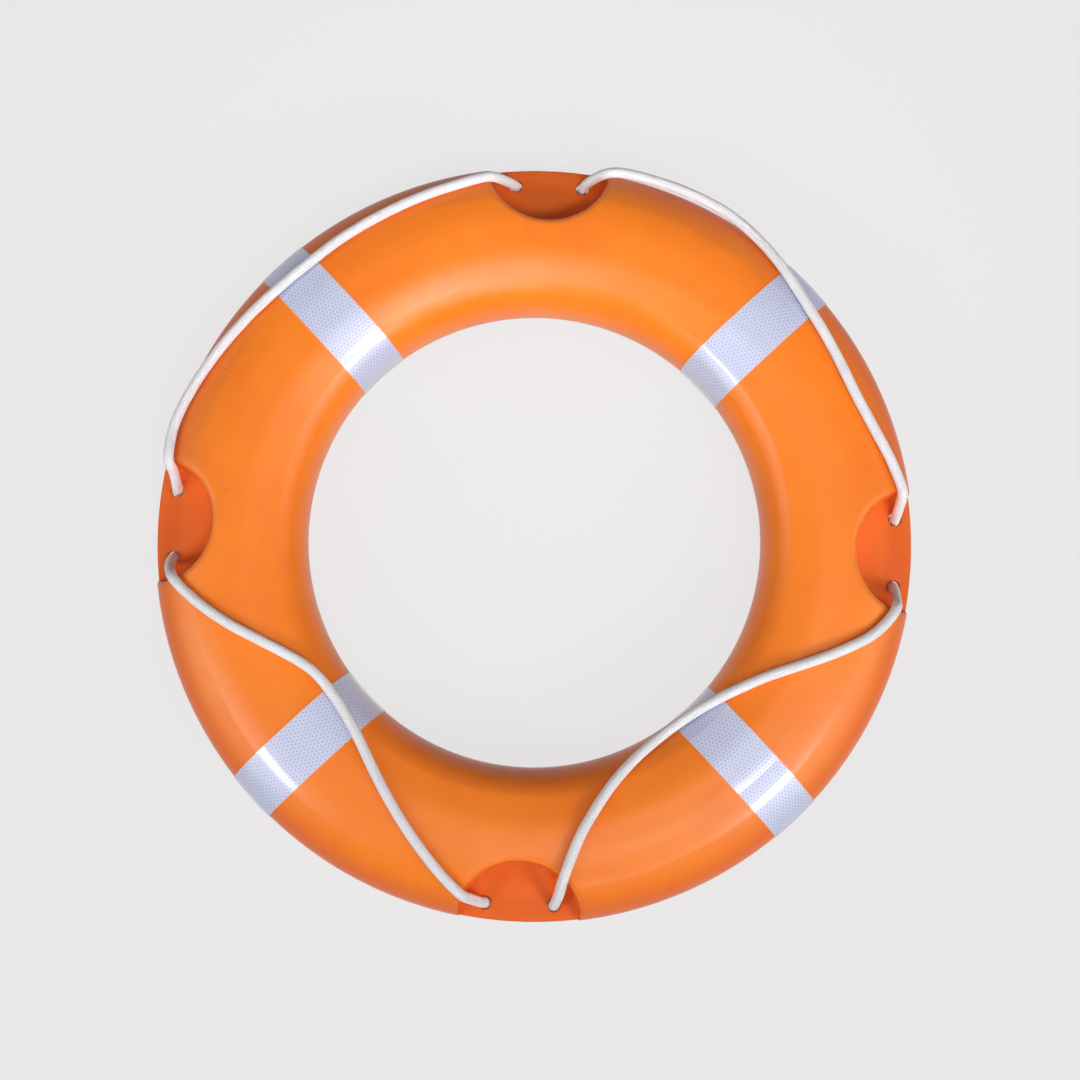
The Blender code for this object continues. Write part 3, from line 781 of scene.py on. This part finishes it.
# %% Parts of a half shell
# How many steps the section takes, a fillet, the top of a notch and the strip under a band
face_steps = {"steps": (16, 8, 4, 8, 14), "fillet": 8, "top": 28, "strip": 14}
lining_steps = {"steps": (3, 2, 1, 1, 2), "fillet": 2, "top": 8, "strip": 2}
hole_clearance = 1.3 * mm
hole_round = 1.2 * mm
hole_sides = 40
mouth_steps = 4
cutter_below = 1 * mm
cutter_above = 2 * mm
flange_edge_round = 2.5 * mm
flange_edge_inset = 0.2 * mm
flange_seat = 0.3 * mm
flange_steps = 48
flange_rim_steps = 24
flange_round_steps = 5
hole_radius = line_radius + hole_clearance


def verts_of(geometry):
    return [item for item in geometry if isinstance(item, bmesh.types.BMVert)]


def drop_edges(bm, base):
    """Extrude every open edge straight down to a level, and return the new open edges."""
    edges = [edge for edge in bm.edges if edge.is_boundary]
    made = bmesh.ops.extrude_edge_only(bm, edges=edges)
    for vert in verts_of(made["geom"]):
        vert.co.z = base
    return [edge for edge in bm.edges if edge.is_boundary]


def half_shell():
    """Face and lining, joined by a flat seam along both rims."""
    bm = Skin(0, **face_steps).surface()
    lining = Skin(wall, **lining_steps).surface()
    holder = smooth_mesh(lining, "lining")
    bm.from_mesh(holder)
    bpy.data.meshes.remove(holder)
    seam = drop_edges(bm, seam_gap / 2)
    inner = [edge for edge in seam if edge.verts[0].co.xy.length < crown_radius]
    outer = [edge for edge in seam if edge.verts[0].co.xy.length >= crown_radius]
    for loop in (inner, outer):
        bmesh.ops.triangle_fill(bm, edges=loop, use_beauty=True, normal=(0, 0, -1))
    bmesh.ops.recalc_face_normals(bm, faces=bm.faces)
    return bm


def flange_plates():
    """Four flat plates that close the notches, with a rounded outer edge."""
    reach = notch_radius + wall / 2
    edge_radius = outer_radius - flange_edge_inset
    start_rise = (outer_radius**2 + reach**2 - edge_radius**2) / (2 * outer_radius * reach)
    start = math.asin(start_rise)
    bm = bmesh.new()
    for index in range(notch_count):
        outline = []
        for step in range(flange_steps + 1):
            angle = start + (math.pi - 2 * start) * step / flange_steps
            x = reach * math.cos(angle)
            y = outer_radius - reach * math.sin(angle)
            outline.append((math.atan2(x, y), math.hypot(x, y)))
        wide = outline[0][0]
        for step in range(1, flange_rim_steps):
            outline.append((-wide + 2 * wide * step / flange_rim_steps, edge_radius))
        spots = [ring_point(a + index * quarter, r, flange_seat) for a, r in outline]
        face = bm.faces.new([bm.verts.new(spot) for spot in spots])
        raised = verts_of(bmesh.ops.extrude_face_region(bm, geom=[face])["geom"])
        bmesh.ops.translate(bm, verts=raised, vec=(0, 0, flange_half - flange_seat))
        rim = []
        for edge in bm.edges:
            on_top = all(vert in raised for vert in edge.verts)
            if on_top and min(v.co.xy.length for v in edge.verts) > edge_radius - merge_reach:
                rim.append(edge)
        bmesh.ops.bevel(
            bm, geom=rim, offset=flange_edge_round, offset_type="OFFSET",
            segments=flange_round_steps, profile=0.5, affect="EDGES", material=-1,
        )
    bmesh.ops.recalc_face_normals(bm, faces=bm.faces)
    return bm


def lathe(profile, sides, places):
    """Closed round solids of one profile, which runs from the axis, at its foot, to the axis."""
    bm = bmesh.new()
    turns = [math.tau * side / sides for side in range(sides + 1)]
    columns = [[(turn, radius, level) for radius, level in profile] for turn in turns]
    for spot in places:
        bmesh.ops.translate(bm, verts=bend_grid(bm, columns), vec=spot)
    bmesh.ops.remove_doubles(bm, verts=bm.verts, dist=merge_reach)
    bmesh.ops.recalc_face_normals(bm, faces=bm.faces)
    return bm


def quarter_round(radius, top, outward, steps):
    """A quarter circle that climbs to a height as it moves outwards, or inwards if negative."""
    points = []
    for step in range(steps + 1):
        angle = math.pi / 2 * step / steps
        level = top - abs(outward) * (1 - math.sin(angle))
        points.append((radius + outward * (1 - math.cos(angle)), level))
    return points


def hole_cutters():
    """Round cutters whose mouth flares in a quarter circle at the flange's face."""
    low, high = -cutter_below, flange_half + cutter_above
    profile = [(0, low), (hole_radius, low)]
    profile += quarter_round(hole_radius, flange_half, hole_round, mouth_steps)
    profile += [(hole_radius + hole_round, high), (0, high)]
    return lathe(profile, hole_sides, holes)


# %% Foam ports and their plugs
port_radius = 9 * mm
port_head_radius = 12.5 * mm
port_head_depth = 1.2 * mm
port_head_sink = 0.2 * mm
port_sides = 48
plug_gap = 0.3 * mm
plug_round = 0.35 * mm
plug_round_steps = 3
dish_rim = 0.62
dish_floor = 0.56
dish_depth = 0.25 * mm
foam_gap = 0.5 * mm
port_angles = (math.radians(112), math.radians(292))
port_places = [ring_point(angle, crown_radius, 0) for angle in port_angles]


def port_cutters():
    low = crown_height - wall - foam_gap / 2
    step = crown_height - port_head_depth
    high = crown_height + port_head_depth
    profile = ((0, low), (port_radius, low), (port_radius, step))
    profile += ((port_head_radius, step), (port_head_radius, high), (0, high))
    return lathe(profile, port_sides, port_places)


def plug(spot):
    """A press-in cap with a rounded edge and a shallow dish, on a stem."""
    low = crown_height - wall
    step = crown_height - port_head_depth + plug_gap
    top = crown_height - port_head_sink
    stem = port_radius - plug_gap
    head = port_head_radius - plug_gap
    profile = [(0, low), (stem, low), (stem, step), (head, step)]
    profile += quarter_round(head, top, -plug_round, plug_round_steps)
    profile += [(dish_rim * head, top), (dish_floor * head, top - dish_depth)]
    profile.append((0, top - dish_depth))
    return lathe(profile, port_sides, [spot])


# %% [markdown]
# Both halves come from one set of parts. The lower one is the upper one turned over: its heights
# change sign, so its faces are flipped to point outwards again.

# %% Make both half shells
sharp_shell_edge = math.radians(32)


def set_height(bm, side):
    for vert in bm.verts:
        vert.co.z = mid_height + side * vert.co.z
    if side < 0:
        bmesh.ops.reverse_faces(bm, faces=bm.faces)


def in_order(bm):
    """Sort edges and faces by their corners, because some operators leave them in any order."""
    bm.verts.index_update()
    count = len(bm.verts)

    def rank(part):
        low, middle, high = (sorted(vert.index for vert in part.verts) + [0])[:3]
        return (low * count + middle) * count + high

    bm.edges.sort(key=rank)
    bm.faces.sort(key=rank)


def combined(name, parts):
    """Run exact booleans of the later parts on the first one, and return the result."""
    items = [add_object(label, mesh) for label, mesh, _ in parts]
    for item, (label, _, operation) in zip(items[1:], parts[1:]):
        step = items[0].modifiers.new(label, "BOOLEAN")
        step.operation = operation
        step.object = item
        step.solver = "EXACT"
    graph = bpy.context.evaluated_depsgraph_get()
    result = bpy.data.meshes.new_from_object(items[0].evaluated_get(graph))
    result.name = name
    for item in items:
        data = item.data
        bpy.data.objects.remove(item)
        bpy.data.meshes.remove(data)
    result.shade_smooth()
    result.set_sharp_from_angle(angle=sharp_shell_edge)
    return result


def half_mesh(name, side):
    parts = [(name, half_shell(), None), ("flanges", flange_plates(), "UNION")]
    parts.append(("holes", hole_cutters(), "DIFFERENCE"))
    if side < 0:
        parts.append(("ports", port_cutters(), "DIFFERENCE"))
    ready = []
    for label, bm, operation in parts:
        set_height(bm, side)
        in_order(bm)
        ready.append((label, smooth_mesh(bm, label), operation))
    return combined(name, ready)


# %% [markdown]
# The shell is moulded polyethylene: an even orange all through, satin, with a skin that is never
# quite smooth. Broad soft clouds vary its depth of colour, fine grain breaks the gloss, and use
# leaves a few specks and pale scratches. A painted shade deepens the orange on the flange seats low
# in the notches and towards the outer rim.

# %% Material of the shell
orange = (0.95, 0.222, 0.006, 1)
orange_cloud = (0.90, 0.190, 0.005, 1)
# Painted shade colour for the flange seats and the outer rim
orange_painted_shade = (0.80, 0.125, 0.002, 1)
speck_colour = (0.16, 0.05, 0.02, 1)
scuff_colour = (0.95, 0.42, 0.22, 1)
scuff_stretch = {"Scale": (1.0, 14.0, 1.0), "Rotation": (0.0, 0.0, 0.6)}

shell_finish = Finish("orange_polyethylene")
clouds = shell_finish.noise(11, detail=4, roughness=0.6)
grain = shell_finish.noise(700)
ripple = shell_finish.noise(46)
rare = shell_finish.noise(9, detail=0)
specks = shell_finish.scatter(38).ramp(0.012, 0.03, 1.0, 0.0) * rare.ramp(0.50, 0.56)
streaks = shell_finish.noise(30, detail=3, stretch=scuff_stretch)
patches = shell_finish.noise(7, detail=1)
scuffs = streaks.ramp(0.64, 0.80) * patches.ramp(0.54, 0.70) * 0.2
spot = shell_finish.place()
rise = (spot.part("Z") - mid_height).size()
flat = shell_finish.node("VectorMath", {"operation": "MULTIPLY"}, {0: spot, 1: (1, 1, 0)})
reach = shell_finish.node("VectorMath", {"operation": "LENGTH"}, {0: flat}, output="Value")
# Painted shade: deeper orange on the flange seats low in the notches and towards the outer rim. The
# seat mask also makes the seats more matte.
seat = rise.ramp(5 * mm, 9 * mm, 1.0, 0.0) * reach.ramp(300 * mm, 304 * mm)
painted_shade_mask = seat * 0.7 + reach.ramp(334 * mm, 362 * mm) * 0.9
crown_colour = shell_finish.blend(clouds.ramp(0.30, 0.72), orange, orange_cloud)
shaded_skin_colour = shell_finish.blend(painted_shade_mask.least(1.0), crown_colour, orange_painted_shade)
scuffed = shell_finish.blend(scuffs, shaded_skin_colour, scuff_colour)
shell_finish.set(
    Base_Color=shell_finish.blend(specks, scuffed, speck_colour),
    Roughness=0.36 + (clouds - 0.5) * 0.12 + scuffs * 0.25 + seat * 0.3,
    Normal=shell_finish.bump(grain * 0.35 + ripple, 0.35, 0.12 * mm),
)

# %% Put both half shells in place
for name, side, node in (("face_shell", 1, "shell_upper"), ("back_shell", -1, "shell_lower")):
    mesh = half_mesh(name, side)
    add_piece(name, mesh, shell_finish, node)

for name, spot, node in zip(("cap_1", "cap_2"), port_places, ("filler_plug", "vent_plug")):
    cap = plug(spot)
    set_height(cap, -1)
    add_piece(name, smooth_mesh(cap, name), shell_finish, node)

# %% [markdown]
# ## Reflective tape
#
# Each band is a strip of silver honeycomb sheeting, 50 mm wide and less than half a millimetre
# thick, wrapped once round the section with its end lapped underneath. Two bent grids, inside and
# outside, are bridged along their edges. The UV map measures the strip in metres, across in U and
# along in V, so that the honeycomb keeps its size everywhere.

# %% The strip
band_width = 50 * mm
band_gap = 0.3 * mm
band_thickness = 0.4 * mm
band_lap_gap = 0.3 * mm
band_steps = (14, 7, 3, 7, 12)
band_columns = 24
lap_steps = 7


def band_line():
    """Inner side of a band round the whole section, and the short lap over its own start."""
    upper = section(-band_gap, band_steps)
    lower = [(radius, -level) for radius, level in upper]
    start = band_steps[0]
    loop = lower[start::-1] + [tuple(point) for point in upper] + lower[: start - 1 : -1]
    lap = section(-band_gap - band_thickness - band_lap_gap, band_steps)
    lap = [(radius, -level) for radius, level in lap]
    return loop[:-1] + lap[start : start - lap_steps : -1]


def outer_line(inside):
    """The outer side of a band and the length run along it, point by point."""
    spots = np.array(inside)
    outside = spots + headings(spots)[:, ::-1] * (band_thickness, -band_thickness)
    steps = np.linalg.norm(np.diff(outside, axis=0), axis=1)
    return outside, np.concatenate(([0], np.cumsum(steps)))


def strip_mesh(name, angle):
    inside = band_line()
    outside, run = outer_line(inside)
    bm = bmesh.new()
    layer = bm.loops.layers.uv.new("UVMap")
    last = len(inside) - 1
    for line in (inside, outside):
        made = bmesh.ops.create_grid(bm, x_segments=band_columns, y_segments=last, size=1)
        for vert in made["verts"]:
            across = vert.co.x * band_width / 2
            row = round((vert.co.y + 1) / 2 * last)
            for loop in vert.link_loops:
                loop[layer].uv = (across, run[row])
            radius, level = line[row]
            vert.co = (across, math.sqrt(radius**2 - across**2), level)
    edges = [edge for edge in bm.edges if edge.is_boundary]
    bmesh.ops.bridge_loops(bm, edges=edges)
    bmesh.ops.recalc_face_normals(bm, faces=bm.faces)
    turn = Matrix.Rotation(-angle, 3, "Z")
    bmesh.ops.rotate(bm, verts=bm.verts, cent=(0, 0, 0), matrix=turn)
    bmesh.ops.translate(bm, verts=bm.verts, vec=(0, 0, mid_height))
    print(name, "is", round(float(run[-1]), 3), "m long")
    return smooth_mesh(bm, name)


# %% [markdown]
# The sheeting has a glossy clear film over a lavender-silver ground. Under the film a hexagonal
# lattice of small darker cells repeats every 3.8 mm. Such a lattice is two rectangular ones, the
# second moved by half a cell both ways: the nearer centre of the two gives the cell.

# %% Material of the tape
cell = 3.8 * mm
rim_index = band_steps[0] + 1
fold_run = outer_line(band_line())[1]
fold_marks = [float(fold_run[rim_index + sum(band_steps[:count])]) for count in (1, 4)]
print("folds of a band at", [round(mark, 4) for mark in fold_marks])
tape_net = (0.58, 0.61, 0.80, 1)
tape_cell = (0.33, 0.36, 0.56, 1)
tape_grey = (0.50, 0.52, 0.62, 1)
# Painted shadow colour along the edges of a band
tape_edge_shadow = (0.74, 0.46, 0.42, 1)
# Painted highlight colour for the folds of a band
tape_fold_highlight = (0.72, 0.74, 0.86, 1)

tape_finish = Finish(
    "silver_honeycomb", Roughness=0.45, Coat_Roughness=0.09, Coat_IOR=1.6, Metallic=0.15
)
across, along = tape_finish.along()


def lattice_distance(shift):
    """Distance, in cells, to the centres of one rectangular lattice."""
    u = (across / cell + shift).fraction() - 0.5
    v = (along / (cell * math.sqrt(3)) + shift).fraction() - 0.5
    return (u * u + v * v * 3).power(0.5)


nearest = lattice_distance(0).least(lattice_distance(0.5))
cells = nearest.ramp(0.20, 0.40, 1.0, 0.0)
haze = tape_finish.noise(30, detail=2)
tape_colour = tape_finish.blend(cells * 0.7, tape_net, tape_cell)
tape_worn = tape_finish.blend(haze.ramp(0.35, 0.8) * 0.35, tape_colour, tape_grey)
# Painted shadow: a thin reddish dark line along both edges of the band
edge_shadow_line = across.size().ramp(band_width / 2 - 1.4 * mm, band_width / 2 - 0.6 * mm)
tape_edge_shaded = tape_finish.blend(edge_shadow_line * 0.7, tape_worn, tape_edge_shadow)
# Painted highlight: a pale line across the band at the two folds of its section
folds = sum((along - mark).size().ramp(0.3 * mm, 1.1 * mm, 0.4, 0.0) for mark in fold_marks)
tape_finish.set(
    Base_Color=tape_finish.blend(folds, tape_edge_shaded, tape_fold_highlight),
    Coat_Weight=0.9 + (haze - 0.5) * 0.2,
    Normal=tape_finish.bump(nearest.ramp(0.2, 0.5) + haze * 1.5, 0.2, 0.12 * mm),
)

# %% Put the four bands in place
for number in range(notch_count):
    name = f"tape_{number + 1}"
    mesh = strip_mesh(name, (number + 0.5) * quarter)
    add_piece(name, mesh, tape_finish, f"tape_band_{number + 1}")

# %% [markdown]
# ## Foam
#
# The foam inside can't be seen, but a cut or an exploded view would show it: cream, with tiny
# closed cells. It keeps its CAD mesh and gets this finish.

# %% Material of the foam
foam_cream = (0.80, 0.68, 0.42, 1)
foam_shade = (0.62, 0.50, 0.28, 1)
foam_finish = Finish("closed_cell_foam", Roughness=0.9)
bubbles = foam_finish.scatter(420)
foam_finish.set(
    Base_Color=foam_finish.blend(bubbles.ramp(0.2, 0.9), foam_cream, foam_shade),
    Normal=foam_finish.bump(bubbles, 0.6, 0.5 * mm),
)
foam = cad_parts["foam_core"]
foam.data.materials.clear()
foam.data.materials.append(foam_finish.material)
print("foam keeps its CAD mesh with", len(foam.data.polygons), "faces")

# %% [markdown]
# ## Floor and light
#
# The ring lies on a plain pale floor. The camera and the gloss should see that floor as almost
# white, but a white floor would also throw light up at the ring's sides, which are dark in the
# picture. Light Path tells the rays apart: camera, glossy and transmitted rays meet the pale
# floor, and the diffuse rays that light the ring meet a darker one. The pale floor glows a little
# and is lit a little, so it stays even and still shows the ring's shadow.

# %% Floor
floor_pale = (0.93, 0.915, 0.915, 1)
floor_dark = (0.16, 0.15, 0.15, 1)
floor_lit = (0.09, 0.089, 0.089, 1)
floor_glow = 0.81
floor_reach = 20
floor_drop = 0.2 * mm
bm = bmesh.new()
bmesh.ops.create_grid(bm, x_segments=1, y_segments=1, size=floor_reach)
bmesh.ops.translate(bm, verts=bm.verts, vec=(0, 0, -floor_drop))
floor_mesh = smooth_mesh(bm, "floor")
floor = add_object("floor", floor_mesh)
floor_finish = Finish("pale_floor", Base_Color=floor_dark, Roughness=0.9, Specular_IOR_Level=0.1)
glow = floor_finish.node("Emission", None, {"Color": floor_pale, "Strength": floor_glow})
lit = floor_finish.node("BsdfDiffuse", None, {"Color": floor_lit})
pale = floor_finish.node("AddShader", None, {0: glow, 1: lit})
dark = Value(floor_finish, floor_finish.shader.outputs[0])
surface = floor_finish.node("MixShader", None, {0: floor_finish.seen(), 1: dark, 2: pale})
floor_finish.fill(floor_finish.tree.nodes["Material Output"].inputs["Surface"], surface)
floor_mesh.materials.append(floor_finish.material)

# %% [markdown]
# The highlights say where the lamps are. On the far side of the ring they lie on the inner slope,
# so two narrow lamps stand on the near side, aimed past the middle. On the near side they lie on
# the outer shoulder, so a small spark stands low to the right and a weaker one to the left. Two
# large walls of light fill the flanks, and a faint one hangs overhead. A lamp's level is how
# bright it makes a white card that faces it, which keeps the plain level of the whole easy to see.


# %% Lamps and world
def soft_lamp(name, azimuth, elevation, wide, tall, level, aim=0.0, spread=180, distance=2.2):
    """A flat lamp at an angle from +Y towards +X and a height angle, aimed at a point on Y."""
    data = bpy.data.lights.new(name, "AREA")
    data.shape = "RECTANGLE"
    data.size = wide
    data.size_y = tall
    data.spread = math.radians(spread)
    share = 1 - data.spread / 2 / math.tan(data.spread / 2)
    data.energy = level * share * (math.pi * distance) ** 2
    lamp = add_object(name, data)
    azimuth, elevation = math.radians(azimuth), math.radians(elevation)
    way = ring_point(azimuth, math.cos(elevation), math.sin(elevation))
    place = Vector((0, aim, mid_height)) + distance * way
    lamp.matrix_world = Matrix.Translation(place) @ way.to_track_quat("Z", "Y").to_matrix().to_4x4()
    print(name, "lamp of", round(data.energy, 1), "W")


soft_lamp("key", 155, 64, 0.9, 0.45, 0.69, aim=0.27, spread=35)
soft_lamp("far side", 168, 36, 0.8, 0.5, 0.40, aim=0.27, spread=26)
soft_lamp("right wall", 108, 28, 2.4, 1.4, 0.48, aim=0.2, spread=70)
soft_lamp("left wall", 252, 28, 2.4, 1.4, 0.57, aim=0.2, spread=70)
soft_lamp("right spark", 130, 40, 0.6, 0.7, 0.33)
soft_lamp("left spark", 236, 44, 0.6, 0.5, 0.17)
soft_lamp("overhead", 0, 88, 2.0, 2.0, 0.10, aim=0.4, spread=80)

# %% [markdown]
# The world is treated as the floor is: a pale backdrop to the camera and in the gloss, and almost
# no light on the ring.

# %% World
world_fill = 0.07
world = bpy.data.worlds.new("studio")
bpy.context.scene.world = world
world.use_nodes = True
studio = Nodes(world.node_tree)
background = studio.tree.nodes["Background"]
levels = {"Value": studio.seen(), "To Min": world_fill, "To Max": floor_glow}
studio.fill(background.inputs["Color"], floor_pale)
studio.fill(background.inputs["Strength"], studio.node("MapRange", None, levels))
bpy.context.scene.view_settings.view_transform = "Standard"
